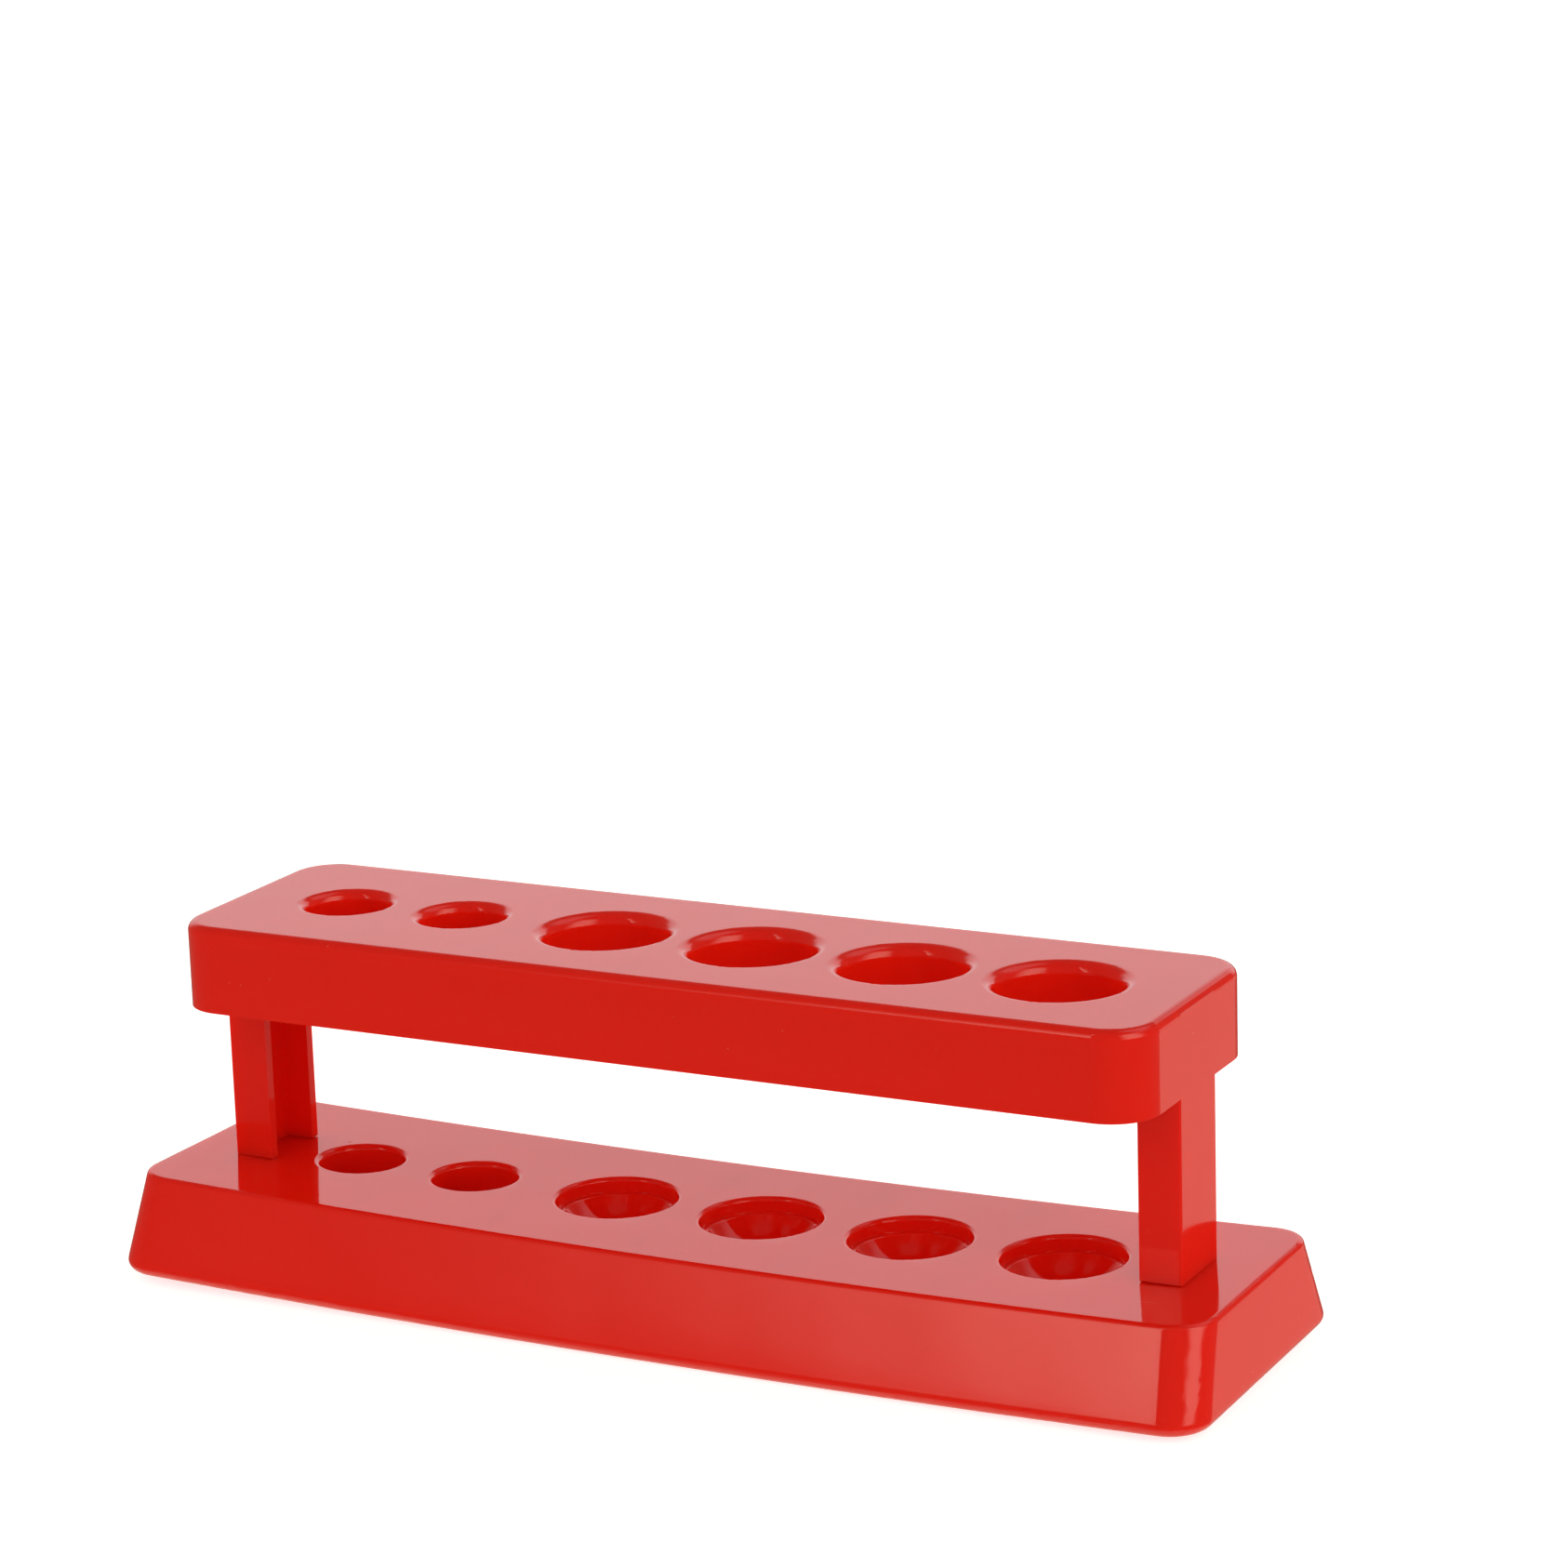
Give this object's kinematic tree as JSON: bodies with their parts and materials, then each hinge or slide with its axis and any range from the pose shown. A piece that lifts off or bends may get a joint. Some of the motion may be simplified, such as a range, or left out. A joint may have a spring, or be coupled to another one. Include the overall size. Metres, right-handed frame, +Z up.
{
  "type": "test tube holder",
  "caption": "Single-row test tube rack: a flared base with round wells carries a skirted deck of tube holes on channel-shaped end posts.",
  "frame": {"origin": "middle of the base's underside, on the surface that the rack stands on", "axes": "+X along the row, from the narrow tube places to the wide ones; +Y across the rack, from the pictured front side to the back; +Z up"},
  "size_m": [0.237, 0.0706, 0.0746],
  "materials": {
    "base_plastic": "glossy red moulded plastic",
    "frame_plastic": "glossy red moulded plastic"
  },
  "bodies": {
    "base": {"base": "base_plastic"},
    "top_frame": {"top_frame": "frame_plastic"}
  },
  "joints": [
    {"name": "frame_lift", "type": "slide", "parent": "base", "child": "top_frame", "axis": [0, 0, 1], "range_m": [0, 0.03]}
  ]
}
